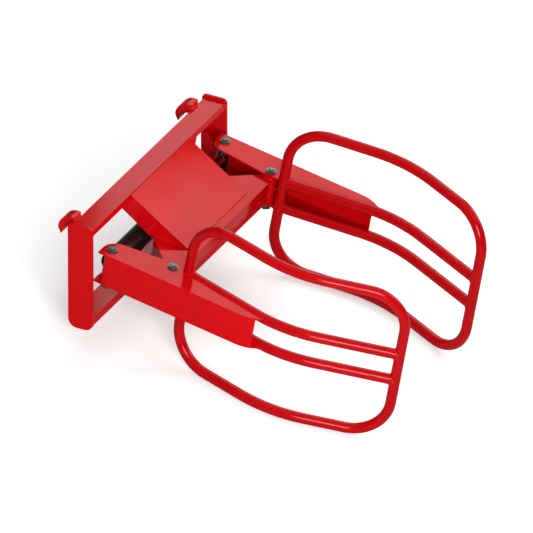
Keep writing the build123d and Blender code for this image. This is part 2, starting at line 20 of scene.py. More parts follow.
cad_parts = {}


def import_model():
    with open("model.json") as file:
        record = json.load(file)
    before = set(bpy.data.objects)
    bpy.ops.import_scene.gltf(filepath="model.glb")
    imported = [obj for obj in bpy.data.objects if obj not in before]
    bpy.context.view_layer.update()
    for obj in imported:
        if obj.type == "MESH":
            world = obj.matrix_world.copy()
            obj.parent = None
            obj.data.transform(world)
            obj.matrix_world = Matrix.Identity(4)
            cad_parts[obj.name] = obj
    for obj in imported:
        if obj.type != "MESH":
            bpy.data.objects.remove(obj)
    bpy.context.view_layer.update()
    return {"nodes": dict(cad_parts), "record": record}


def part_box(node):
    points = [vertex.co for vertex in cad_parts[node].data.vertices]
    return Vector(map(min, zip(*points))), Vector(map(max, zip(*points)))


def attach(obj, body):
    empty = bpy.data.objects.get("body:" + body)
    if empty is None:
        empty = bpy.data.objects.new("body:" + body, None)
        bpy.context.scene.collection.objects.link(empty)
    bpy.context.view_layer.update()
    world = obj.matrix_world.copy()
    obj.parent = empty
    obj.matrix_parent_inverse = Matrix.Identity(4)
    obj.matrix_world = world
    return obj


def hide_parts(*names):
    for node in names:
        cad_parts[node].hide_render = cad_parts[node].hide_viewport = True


LOG = logging.getLogger("bale_clamp")

MM = 0.001
FULL_TURN = 2 * math.pi
QUARTER_TURN = math.pi / 2
ALL_ROUND = (0, 360, 5)
SMOOTH_BELOW = math.radians(38)
BEVEL_ABOVE = math.radians(40)
FLAT_WITHIN = math.radians(0.5)
HITCH_LEAN = math.radians(10)
MERGE_PACKED = 1e-5
MERGE_FINE = 1e-7

TINT_SPAN = (0.35, 0.65)
GLOSS_SPAN = (0.3, 0.7)
MOTTLE_DETAIL = 5.0
GRAIN_DETAIL = 3.0


class Side(Enum):
    """The two hands of the clamp, with the sign of their X."""

    LEFT = -1
    RIGHT = 1

    @property
    def word(self) -> str:
        """Lower-case name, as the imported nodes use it."""
        return self.name.lower()


class Body(Enum):
    """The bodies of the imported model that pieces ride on."""

    HEADSTOCK = "headstock"
    LEFT_ARM = "left_arm"
    RIGHT_ARM = "right_arm"
    BARREL = "cylinder_barrel"
    ROD = "cylinder_rod"

    @classmethod
    def arm(cls, side: Side) -> Body:
        """The arm body of one side."""
        return cls.LEFT_ARM if side is Side.LEFT else cls.RIGHT_ARM


@dataclass(frozen=True)
class Finish:
    """A surface finish whose colour, gloss and grain come from noise in object space."""

    name: str
    slot: str
    colour: tuple[float, float, float]
    shade: tuple[float, float, float]
    metallic: float = 0.0
    gloss_low: float = 0.15
    gloss_high: float = 0.25
    ior: float = 1.5
    mottle_scale: float = 6.0
    grain_scale: float = 400.0
    grain_height: float = 0.02
    stretch: tuple[float, float, float] = (1.0, 1.0, 1.0)

    def material(self) -> bpy.types.Material:
        """Build the node material, or return the one already built.

        Returns:
            The Blender material of this finish.
        """
        known = bpy.data.materials.get(self.name)
        if known:
            return known
        material = bpy.data.materials.new(self.name)
        material.use_nodes = True
        nodes, links = material.node_tree.nodes, material.node_tree.links
        shader = nodes["Principled BSDF"]
        shader.inputs["Metallic"].default_value = self.metallic
        shader.inputs["IOR"].default_value = self.ior
        place = nodes.new("ShaderNodeTexCoord")
        turn = nodes.new("ShaderNodeMapping")
        turn.inputs["Scale"].default_value = self.stretch
        links.new(place.outputs["Object"], turn.inputs["Vector"])

        mottle = nodes.new("ShaderNodeTexNoise")
        mottle.inputs["Scale"].default_value = self.mottle_scale
        mottle.inputs["Detail"].default_value = MOTTLE_DETAIL
        links.new(turn.outputs["Vector"], mottle.inputs["Vector"])
        tint = nodes.new("ShaderNodeValToRGB")
        for stop, position, colour in zip(tint.color_ramp.elements, TINT_SPAN, (self.shade, self.colour)):
            stop.position = position
            stop.color = (*colour, 1.0)
        links.new(mottle.outputs["Fac"], tint.inputs["Fac"])
        links.new(tint.outputs["Color"], shader.inputs["Base Color"])

        gloss = nodes.new("ShaderNodeMapRange")
        gloss.inputs["From Min"].default_value = GLOSS_SPAN[0]
        gloss.inputs["From Max"].default_value = GLOSS_SPAN[1]
        gloss.inputs["To Min"].default_value = self.gloss_low
        gloss.inputs["To Max"].default_value = self.gloss_high
        links.new(mottle.outputs["Fac"], gloss.inputs["Value"])
        links.new(gloss.outputs["Result"], shader.inputs["Roughness"])

        grain = nodes.new("ShaderNodeTexNoise")
        grain.inputs["Scale"].default_value = self.grain_scale
        grain.inputs["Detail"].default_value = GRAIN_DETAIL
        links.new(turn.outputs["Vector"], grain.inputs["Vector"])
        relief = nodes.new("ShaderNodeBump")
        relief.inputs["Strength"].default_value = self.grain_height
        relief.inputs["Distance"].default_value = MM
        links.new(grain.outputs["Fac"], relief.inputs["Height"])
        links.new(relief.outputs["Normal"], shader.inputs["Normal"])
        return material


RED_PAINT = Finish(
    "red_powder_coat", "red_paint", (0.62, 0.0025, 0.005), (0.58, 0.002, 0.004),
    gloss_low=0.08, gloss_high=0.15, ior=1.22, grain_scale=260.0, grain_height=0.03,
)
# Same red paint as the plates, with its colour darkened to paint in the shade that falls on the round
# tubes of the loops and rails.
TUBE_PAINT_WITH_PAINTED_SHADE = Finish(
    "red_powder_coat_on_tube", "red_paint", (0.50, 0.0018, 0.0045), (0.46, 0.0015, 0.0035),
    gloss_low=0.09, gloss_high=0.15, ior=1.24, mottle_scale=4.0, grain_scale=260.0, grain_height=0.03,
)
WELD_PAINT = Finish(
    "red_paint_over_weld", "red_paint", (0.62, 0.004, 0.008), (0.50, 0.003, 0.005),
    gloss_low=0.16, gloss_high=0.30, ior=1.28,
    mottle_scale=60.0, grain_scale=900.0, grain_height=0.12,
)
BLACK_ENAMEL = Finish(
    "black_enamel", "black_paint", (0.010, 0.011, 0.010), (0.006, 0.007, 0.006),
    gloss_low=0.14, gloss_high=0.24, ior=1.36,
    grain_scale=320.0, grain_height=0.04,
)
ZINC = Finish(
    "dull_zinc", "zinc", (0.17, 0.18, 0.155), (0.09, 0.095, 0.085), metallic=0.9,
    gloss_low=0.32, gloss_high=0.5, mottle_scale=90.0, grain_scale=1500.0, grain_height=0.10,
)
HARD_CHROME = Finish(
    "hard_chrome", "chrome_rod", (0.80, 0.81, 0.83), (0.72, 0.73, 0.75), metallic=1.0,
    gloss_low=0.05, gloss_high=0.10, grain_scale=900.0, grain_height=0.015,
    stretch=(0.2, 6.0, 6.0),
)
BRONZE = Finish(
    "bush_bronze", "bronze", (0.55, 0.36, 0.16), (0.40, 0.25, 0.10), metallic=1.0,
    gloss_low=0.25, gloss_high=0.4, mottle_scale=70.0, grain_scale=900.0, grain_height=0.06,
)
SEAL_RUBBER = Finish(
    "seal_rubber", "seal_rubber", (0.02, 0.02, 0.02), (0.012, 0.012, 0.012),
    gloss_low=0.5, gloss_high=0.65, grain_scale=1200.0, grain_height=0.1,
)
TUBE_NODES = ("_loop", "_rail")
FINISH_OF_SLOT = {
    finish.slot: finish
    for finish in (SEAL_RUBBER, BRONZE, HARD_CHROME, ZINC, BLACK_ENAMEL, RED_PAINT)
}


def for_camera(
    tree: bpy.types.NodeTree, socket: bpy.types.NodeSocket, others: float, camera: float
) -> None:
    """Feed a socket one value for what the camera sees and another for bounced light.

    Args:
        tree: Node tree of the socket.
        socket: The input to feed.
        others: Value for reflections and bounced light.
        camera: Value for what the camera sees directly.
    """
    seen = tree.nodes.new("ShaderNodeLightPath")
    tone = tree.nodes.new("ShaderNodeMapRange")
    tone.inputs["To Min"].default_value = others
    tone.inputs["To Max"].default_value = camera
    tree.links.new(seen.outputs["Is Camera Ray"], tone.inputs["Value"])
    tree.links.new(tone.outputs["Result"], socket)


def arc(begin: int, end: int, step: int) -> list[tuple[float, float]]:
    """Cosine and sine at even turns along an arc.

    Args:
        begin: First turn, in degrees.
        end: Last turn, in degrees.
        step: From one turn to the next, in degrees; negative to run backwards.

    Returns:
        One pair for each turn, with both ends.
    """
    past = end + (1 if step > 0 else -1)
    turns = [math.radians(turn) for turn in range(begin, past, step)]
    return [(math.cos(turn), math.sin(turn)) for turn in turns]


def shade_by_angle(mesh: bmesh.types.BMesh) -> None:
    """Shade smooth, with sharp edges where two faces meet at a steep angle.

    Args:
        mesh: The shape to shade.
    """
    for face in mesh.faces:
        face.smooth = True
    for edge in mesh.edges:
        if len(edge.link_faces) == 2:
            edge.smooth = edge.calc_face_angle() < SMOOTH_BELOW


def publish(
    name: str,
    mesh: bmesh.types.BMesh,
    finish: Finish,
    body: Body,
    stands_for: Sequence[str] = (),
) -> bpy.types.Object:
    """Turn a finished bmesh into a piece that rides on a body.

    Args:
        name: Name of the piece.
        mesh: The shape, in place, in metres. It is freed.
        finish: Surface finish.
        body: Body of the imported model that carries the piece.
        stands_for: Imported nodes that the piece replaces.

    Returns:
        The new object.
    """
    shade_by_angle(mesh)
    data = bpy.data.meshes.new(name)
    mesh.to_mesh(data)
    mesh.free()
    data.materials.append(finish.material())
    piece = bpy.data.objects.new(name, data)
    bpy.context.scene.collection.objects.link(piece)
    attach(piece, body.value)
    if stands_for:
        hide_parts(*stands_for)
    LOG.info("%s: %d faces on %s", name, len(data.polygons), body.value)
    return piece


def middle(node: str) -> Vector:
    """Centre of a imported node's box at rest."""
    low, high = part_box(node)
    return (low + high) / 2


def turned(
    profile: Sequence[tuple[float, float]], steps: int = 64, closed: bool = False
) -> bmesh.types.BMesh:
    """Turn a profile about Z, as on a lathe.

    Args:
        profile: Points as (radius, height), in metres.
        steps: Number of faces round.
        closed: Whether the last point joins the first, as in a ring.

    Returns:
        The turned shape, about the origin.
    """
    mesh = bmesh.new()
    points = [mesh.verts.new((radius, 0, height)) for radius, height in profile]
    ends = points[1:] + points[:1] if closed else points[1:]
    outline = [mesh.edges.new(pair) for pair in zip(points, ends)]
    bmesh.ops.spin(
        mesh, geom=points + outline, cent=(0, 0, 0), axis=(0, 0, 1),
        angle=FULL_TURN, steps=steps, use_merge=True,
    )
    bmesh.ops.remove_doubles(mesh, verts=mesh.verts[:], dist=MERGE_FINE)
    bmesh.ops.recalc_face_normals(mesh, faces=mesh.faces[:])
    return mesh


def join_into(target: bmesh.types.BMesh, part: bmesh.types.BMesh, place: Matrix) -> None:
    """Move a shape into place and add it to another, freeing it.

    Args:
        target: The shape that grows.
        part: The shape to add.
        place: Where the shape goes.
    """
    bmesh.ops.transform(part, matrix=place, verts=part.verts[:])
    carrier = bpy.data.meshes.new("carrier")
    part.to_mesh(carrier)
    part.free()
    target.from_mesh(carrier)
    bpy.data.meshes.remove(carrier)


def hexagon(across: float, height: float, corner: float, dome: float) -> bmesh.types.BMesh:
    """A hexagon block on the XY plane whose top edges are rounded over.

    Args:
        across: Width across the flats.
        height: Height of the block.
        corner: Width of the easing of the six upright edges.
        dome: Width of the rounding at the top.

    Returns:
        The block.
    """
    mesh = bmesh.new()
    radius = across / 2 / math.cos(FULL_TURN / 12)
    bmesh.ops.create_cone(
        mesh, cap_ends=True, segments=6, radius1=radius, radius2=radius, depth=height,
        matrix=Matrix.Translation((0, 0, height / 2)) @ Matrix.Rotation(FULL_TURN / 24, 4, "Z"),
    )
    upright = [
        edge for edge in mesh.edges if abs(edge.verts[0].co.z - edge.verts[1].co.z) > height / 2
    ]
    bmesh.ops.bevel(
        mesh, geom=upright, offset=corner, affect="EDGES", segments=2, profile=0.5, material=-1
    )
    rim = [edge for edge in mesh.edges if min(vert.co.z for vert in edge.verts) > height - MERGE_FINE]
    bmesh.ops.bevel(mesh, geom=rim, offset=dome, affect="EDGES", segments=4, profile=0.5, material=-1)
    return mesh


@dataclass
class WeldBead:
    """A rippled fillet of weld along a path."""

    radius: float = 3.4 * MM
    ripple: float = 0.12
    pitch: float = 5.4 * MM
    rings_per_ripple: int = 3
    sides: int = 8

    def lay(self, mesh: bmesh.types.BMesh, path: Sequence[Vector]) -> None:
        """Add one bead along a path that has no sharp corners.

        Args:
            mesh: The shape that takes the bead.
            path: Points of the seam.
        """
        stations = self.stations(path)
        spans = len(stations) - 1
        strip, half = bmesh.new(), 0.5
        bmesh.ops.create_grid(strip, x_segments=self.sides, y_segments=spans, size=half)
        for vert in strip.verts:
            count = round((vert.co.y + half) * spans)
            turn = FULL_TURN * (vert.co.x + half)
            swell = self.radius * (1 + self.ripple * math.cos(count * FULL_TURN / self.rings_per_ripple))
            vert.co = stations[count] @ Vector((swell * math.cos(turn), swell * math.sin(turn), 0.0))
        bmesh.ops.remove_doubles(strip, verts=strip.verts[:], dist=MERGE_FINE)
        rim = [edge for edge in strip.edges if edge.is_boundary]
        bmesh.ops.holes_fill(strip, edges=rim, sides=self.sides)
        bmesh.ops.recalc_face_normals(strip, faces=strip.faces[:])
        join_into(mesh, strip, Matrix.Identity(4))

    def stations(self, path: Sequence[Vector]) -> list[Matrix]:
        """Evenly spaced frames along a path, turned as little as the path allows.

        Args:
            path: Points of the seam.

        Returns:
            One matrix for each ring of the bead.
        """
        step = self.pitch / self.rings_per_ripple
        heading = (path[1] - path[0]).normalized()
        turn = heading.to_track_quat("Z", "Y")
        frames: list[Matrix] = []
        for begin, end in zip(path, path[1:]):
            run = end - begin
            turn = heading.rotation_difference(run) @ turn
            heading = run.normalized()
            count = max(1, round(run.length / step))
            frames += [
                Matrix.Translation(begin + run * (index / count)) @ turn.to_matrix().to_4x4()
                for index in range(count)
            ]
        frames.append(Matrix.Translation(path[-1]) @ turn.to_matrix().to_4x4())
        return frames


@dataclass
class Steelwork:
    """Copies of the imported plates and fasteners, with their sharp edges eased."""

    nodes: dict[str, bpy.types.Object]
    segments: int = 2
    face_weight: int = 100

    def ease(self, node: str, body: Body, finish: Finish, width: float) -> None:
        """Replace one node by a copy of it with eased edges.

        Args:
            node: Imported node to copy.
            body: Body that carries it.
            finish: Surface finish.
            width: Width of the easing.
        """
        mesh = bmesh.new()
        mesh.from_mesh(self.nodes[node].data)
        bmesh.ops.remove_doubles(mesh, verts=mesh.verts[:], dist=MERGE_PACKED)
        bmesh.ops.dissolve_limit(
            mesh, angle_limit=FLAT_WITHIN, verts=mesh.verts[:], edges=mesh.edges[:]
        )
        sharp = [
            edge for edge in mesh.edges
            if len(edge.link_faces) == 2 and edge.calc_face_angle() > BEVEL_ABOVE
        ]
        bmesh.ops.bevel(
            mesh, geom=sharp, offset=width, affect="EDGES", segments=self.segments,
            profile=0.5, material=-1, clamp_overlap=True,
        )
        piece = publish(node + "_eased", mesh, finish, body, [node])
        weighting = piece.modifiers.new("flat faces stay flat", "WEIGHTED_NORMAL")
        weighting.mode = "FACE_AREA"
        weighting.weight = self.face_weight
        weighting.keep_sharp = True

    def dress(self, names: Iterable[str], body: Body, finish: Finish, width: float) -> None:
        """Ease every listed node of one body."""
        for name in names:
            self.ease(name, body, finish, width)


@dataclass
class TubePlan:
    """Plan curve of one arm's tube frame, measured along the tube from its rear upright."""

    side: Side
    upright_in: float = 15 * MM
    upright_ahead: float = 69 * MM
    rear_run: float = 357 * MM
    rear_splay: float = math.radians(10)
    bend_radius: float = 560 * MM
    front_turn: float = math.radians(20)
    front_run: float = 343 * MM
    tube_radius: float = 22.5 * MM

    @property
    def bend(self) -> float:
        """Length of the bend between the two straight runs."""
        return self.bend_radius * (self.rear_splay + self.front_turn)

    @property
    def length(self) -> float:
        """Length of the curve from upright to upright."""
        return self.rear_run + self.bend + self.front_run

    def point(self, run: float, out: float, up: float) -> Vector:
        """A point beside the curve.

        Args:
            run: Distance along the curve.
            out: Distance outwards from it, level.
            up: Height above the middle of the arm.

        Returns:
            The point in the frame.
        """
        turned_by = min(max(run - self.rear_run, 0.0), self.bend) / self.bend_radius
        splay = self.rear_splay - turned_by
        x = -self.upright_in + min(run, self.rear_run) * math.sin(self.rear_splay)
        y = -self.upright_ahead - min(run, self.rear_run) * math.cos(self.rear_splay)
        x += self.bend_radius * (math.cos(splay) - math.cos(self.rear_splay))
        y += self.bend_radius * (math.sin(splay) - math.sin(self.rear_splay))
        rest = max(run - self.rear_run - self.bend, 0.0)
        x += rest * math.sin(splay) + out * math.cos(splay)
        y += -rest * math.cos(splay) + out * math.sin(splay)
        pivot = middle(f"{self.side.word}_pivot_tube")
        return pivot + Vector((self.side.value * x, y, up))


@dataclass
class GrippingArm:
    """One arm: eased plates, fasteners with threads, and the welds of its tubes."""

    side: Side
    steelwork: Steelwork
    rail_level: float = 65 * MM
    half_height: float = 76 * MM
    plate: float = 8 * MM
    loop_weld_out: float = 19.6 * MM
    loop_weld_run: tuple[float, float] = (22 * MM, 410 * MM)
    loop_weld_steps: int = 36
    upright_weld_arc: tuple[int, int, int] = (116, -46, -6)
    web_weld_inset: float = 4 * MM
    web_weld_reach: float = 378 * MM
    saddle_steps: int = 40
    saddle_fit: float = 0.98
    saddle_gap: float = 1.5 * MM
    thread_radius: float = 15.2 * MM
    thread_depth: float = 0.9 * MM
    thread_pitch: float = 2.0 * MM
    thread_root_at: float = 0.15
    thread_crest_at: float = 0.5
    thread_chamfer: float = 0.8 * MM
    thread_past_end: float = 0.1 * MM
    thread_faces: int = 48
    easing: float = 1.9 * MM
    fastener_easing: float = 0.9 * MM
    plates: tuple[str, ...] = ("arm_top_plate", "arm_bottom_plate", "arm_web")
    hardware: tuple[str, ...] = ("pin", "nut", "washers")
    plan: TubePlan = field(init=False)

    def __post_init__(self) -> None:
        """Take the plan curve of this side."""
        self.plan = TubePlan(self.side)

    @property
    def body(self) -> Body:
        """The body that carries this arm."""
        return Body.arm(self.side)

    def build(self) -> None:
        """Build every piece of the arm."""
        word = self.side.word
        plates = [f"{word}_{plate}" for plate in self.plates]
        self.steelwork.dress(plates, self.body, RED_PAINT, self.easing)
        for place in ("pivot", "cylinder"):
            fasteners = [f"{word}_{place}_{item}" for item in self.hardware]
            self.steelwork.dress(fasteners, self.body, ZINC, self.fastener_easing)
            self.thread(place)
        self.weld()

    def thread(self, place: str) -> None:
        """Cut a thread on the pin's end below its nut.

        Args:
            place: Which pin, pivot or cylinder.
        """
        low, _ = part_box(f"{self.side.word}_{place}_pin")
        nut_low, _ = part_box(f"{self.side.word}_{place}_nut")
        centre = middle(f"{self.side.word}_{place}_nut")
        ridge = self.thread_radius
        root = ridge - self.thread_depth
        height = nut_low.z - low.z
        count = int(height / self.thread_pitch)
        end = low.z - self.thread_past_end
        profile = [(0.0, end), (root - self.thread_chamfer, end)]
        for turn in range(count):
            start = low.z + height * turn / count
            profile += [
                (root, start + self.thread_root_at * self.thread_pitch),
                (ridge, start + self.thread_crest_at * self.thread_pitch),
            ]
        profile += [(root, nut_low.z), (0.0, nut_low.z)]
        mesh = turned(profile, steps=self.thread_faces)
        bmesh.ops.translate(mesh, vec=(centre.x, centre.y, 0), verts=mesh.verts[:])
        publish(f"{self.side.word}_{place}_thread", mesh, ZINC, self.body)

    def saddle(self, front: bool, level: float) -> list[Vector]:
        """Seam where a rail meets an upright of the same diameter.

        Args:
            front: Whether it is the front upright.
            level: Height of the rail.

        Returns:
            Points right round the rail.
        """
        radius = self.plan.tube_radius
        points = []
        for step in range(self.saddle_steps + 1):
            angle = FULL_TURN * step / self.saddle_steps
            reach = radius * abs(math.cos(angle)) * self.saddle_fit + self.saddle_gap
            run = self.plan.length - reach if front else reach
            out, up = radius * math.sin(angle), radius * math.cos(angle)
            points.append(self.plan.point(run, out, level + up))
        return points

    def weld(self) -> None:
        """Lay the arm's welds."""
        bead, mesh = WeldBead(), bmesh.new()
        for level in (self.rail_level, -self.rail_level):
            for front in (False, True):
                bead.lay(mesh, self.saddle(front, level))
        radius = self.plan.tube_radius
        pivot = middle(f"{self.side.word}_pivot_tube")
        upright = self.plan.point(0.0, 0.0, 0.0)
        low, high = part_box(f"{self.side.word}_arm_web")
        inner_x = (high.x - self.plate) if self.side is Side.RIGHT else (low.x + self.plate)
        first, last = self.loop_weld_run
        for face in (self.half_height, -self.half_height):
            bead.lay(mesh, [
                self.plan.point(
                    first + (last - first) * step / self.loop_weld_steps, self.loop_weld_out, face
                )
                for step in range(self.loop_weld_steps + 1)
            ])
            bead.lay(mesh, [
                upright + Vector((self.side.value * radius * across, radius * along, face))
                for across, along in arc(*self.upright_weld_arc)
            ])
        for corner in (self.half_height - self.plate, self.plate - self.half_height):
            bead.lay(mesh, [
                Vector((inner_x, high.y - self.web_weld_inset, pivot.z + corner)),
                Vector((inner_x, pivot.y - self.web_weld_reach, pivot.z + corner)),
            ])
        publish(f"{self.side.word}_arm_welds", mesh, WELD_PAINT, self.body)


@dataclass
class Headstock:
    """Hitch frame, neck and crossbeam: eased plates, welds and grease nipples."""

    steelwork: Steelwork
    half_width: float = 588 * MM
    beam_back: float = 12.5 * MM
    beam_front: float = 112.5 * MM
    top_beam: tuple[float, float] = (-14 * MM, -44 * MM)
    bottom_beam: tuple[float, float] = (-435 * MM, -475 * MM)
    pivot_ahead: float = 408.5 * MM
    pivot_drop: float = 187.8 * MM
    half_arm: float = 76 * MM
    half_box: float = 55 * MM
    flange_out: float = 261 * MM
    box_lip_face: float = 13 * MM
    lip_under: float = 47 * MM
    lug_edges: tuple[float, float] = (552.5 * MM, 567.5 * MM)
    lug_front: float = 85 * MM
    brace_edges: tuple[float, float] = (188 * MM, 200 * MM)
    hook_root: tuple[float, float] = (-14 * MM, -30 * MM)
    brace_weld: float = 50 * MM
    brace_foot: tuple[float, float] = (89 * MM, 176 * MM)
    flange_foot: tuple[float, float] = (40 * MM, 183 * MM)
    lip_inset: float = 34 * MM
    pivot_tube: float = 30 * MM
    pivot_weld_arc: tuple[int, int, int] = (110, 225, 5)
    easing: float = 1.1 * MM
    nipple_hexagon: tuple[float, float, float] = (8 * MM, 0.6 * MM, 0.5 * MM)
    nipple_hexagon_share: float = 0.45
    nipple_faces: int = 24
    nipple_head: tuple[tuple[float, float], ...] = (
        (0.0, 0.4), (2.6, 0.4), (1.7, 0.6), (1.7, 0.68), (3.0, 0.76), (3.2, 0.85), (2.4, 0.96),
        (0.9, 1.0), (0.0, 0.99),
    )
    plates: tuple[str, ...] = (
        "top_beam", "bottom_beam", "left_end_plate", "right_end_plate", "left_hook", "right_hook",
        "left_lock_lug", "right_lock_lug", "left_lock_ribs", "right_lock_ribs", "neck_cover",
        "left_neck_flange", "right_neck_flange", "neck_gusset", "left_lower_brace",
        "right_lower_brace", "crossbeam_top_plate", "crossbeam_bottom_plate",
        "crossbeam_front_plate", "crossbeam_rear_plate", "left_crossbeam_side",
        "right_crossbeam_side",
    )

    @property
    def pivot_line(self) -> Vector:
        """The point midway between the two pivots, at mid height."""
        return (middle("left_pivot_tube") + middle("right_pivot_tube")) / 2

    def on_hitch(self, x: float, forward: float, up: float) -> Vector:
        """A point of the leaning hitch frame.

        Args:
            x: Sideways from the middle.
            forward: Forward of the end plates' rear edge, along the frame.
            up: Above the end plates' top, along the frame.

        Returns:
            The point in the frame.
        """
        ahead, rise = forward - self.pivot_ahead, up + self.pivot_drop
        lean_cos, lean_sin = math.cos(HITCH_LEAN), math.sin(HITCH_LEAN)
        back = rise * lean_sin - ahead * lean_cos
        return self.pivot_line + Vector((x, back, ahead * lean_sin + rise * lean_cos + self.half_arm))

    def build(self) -> None:
        """Build every piece of the headstock."""
        self.steelwork.dress(self.plates, Body.HEADSTOCK, RED_PAINT, self.easing)
        mesh, bead = bmesh.new(), WeldBead()
        self.weld_hitch(mesh, bead)
        self.weld_crossbeam(mesh, bead)
        publish("headstock_welds", mesh, WELD_PAINT, Body.HEADSTOCK)
        self.nipples()

    def weld_hitch(self, mesh: bmesh.types.BMesh, bead: WeldBead) -> None:
        """Lay the welds of the beams, hooks, lugs, flanges and braces.

        Args:
            mesh: The shape that takes the beads.
            bead: The kind of bead.
        """
        for side in Side:
            sign = side.value
            for top, bottom in (self.top_beam, self.bottom_beam):
                corners = [
                    (self.beam_back, top), (self.beam_front, top),
                    (self.beam_front, bottom), (self.beam_back, bottom),
                ]
                seams = [self.on_hitch(sign * self.half_width, *corner) for corner in corners]
                for begin, end in zip(seams, seams[1:] + seams[:1]):
                    bead.lay(mesh, [begin, end])
            low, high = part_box(f"{side.word}_hook")
            for root in self.hook_root:
                bead.lay(mesh, [
                    self.on_hitch(end.x, self.beam_back, root) for end in (low, high)
                ])
            for edge in self.lug_edges:
                bead.lay(mesh, [
                    self.on_hitch(sign * edge, self.beam_back, self.bottom_beam[0]),
                    self.on_hitch(sign * edge, self.lug_front, self.bottom_beam[0]),
                ])
            bead.lay(mesh, [
                self.on_hitch(sign * self.flange_out, self.beam_back, self.top_beam[1]),
                self.on_hitch(sign * self.flange_out, self.beam_front, self.top_beam[1]),
            ])
            for edge in self.brace_edges:
                bead.lay(mesh, [
                    self.on_hitch(sign * edge, self.beam_front - self.brace_weld, self.bottom_beam[0]),
                    self.on_hitch(sign * edge, self.beam_front, self.bottom_beam[0]),
                ])
                bead.lay(mesh, [
                    self.pivot_line + Vector((sign * edge, back, -self.half_box))
                    for back in self.brace_foot
                ])

    def weld_crossbeam(self, mesh: bmesh.types.BMesh, bead: WeldBead) -> None:
        """Lay the welds of the crossbeam and of the pivot tubes.

        Args:
            mesh: The shape that takes the beads.
            bead: The kind of bead.
        """
        centre = self.pivot_line
        reach = middle("right_pivot_tube").x
        for level in (self.lip_under, -self.lip_under):
            bead.lay(mesh, [
                centre + Vector((sign * (reach - self.lip_inset), -self.box_lip_face, level))
                for sign in (-1, 1)
            ])
        for side in Side:
            bead.lay(mesh, [
                centre + Vector((side.value * self.flange_out, back, self.half_box))
                for back in self.flange_foot
            ])
            for level in (self.half_box, -self.half_box):
                bead.lay(mesh, [
                    centre + Vector((
                        side.value * (reach + self.pivot_tube * across), self.pivot_tube * along, level
                    ))
                    for across, along in arc(*self.pivot_weld_arc)
                ])

    def nipples(self) -> None:
        """Replace the grease nipples by ones with a hexagon, a neck and a ball."""
        mesh = bmesh.new()
        low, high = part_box("grease_nipples")
        length = high.y - low.y
        across, corner, dome = self.nipple_hexagon
        head = [(radius * MM, share * length) for radius, share in self.nipple_head]
        for side in Side:
            seat = middle(f"{side.word}_pivot_tube")
            place = Matrix.Translation((seat.x, high.y, seat.z)) @ Matrix.Rotation(QUARTER_TURN, 4, "X")
            join_into(mesh, hexagon(across, self.nipple_hexagon_share * length, corner, dome), place)
            join_into(mesh, turned(head, steps=self.nipple_faces), place)
        publish("grease_nipples_fine", mesh, ZINC, Body.HEADSTOCK, ["grease_nipples"])


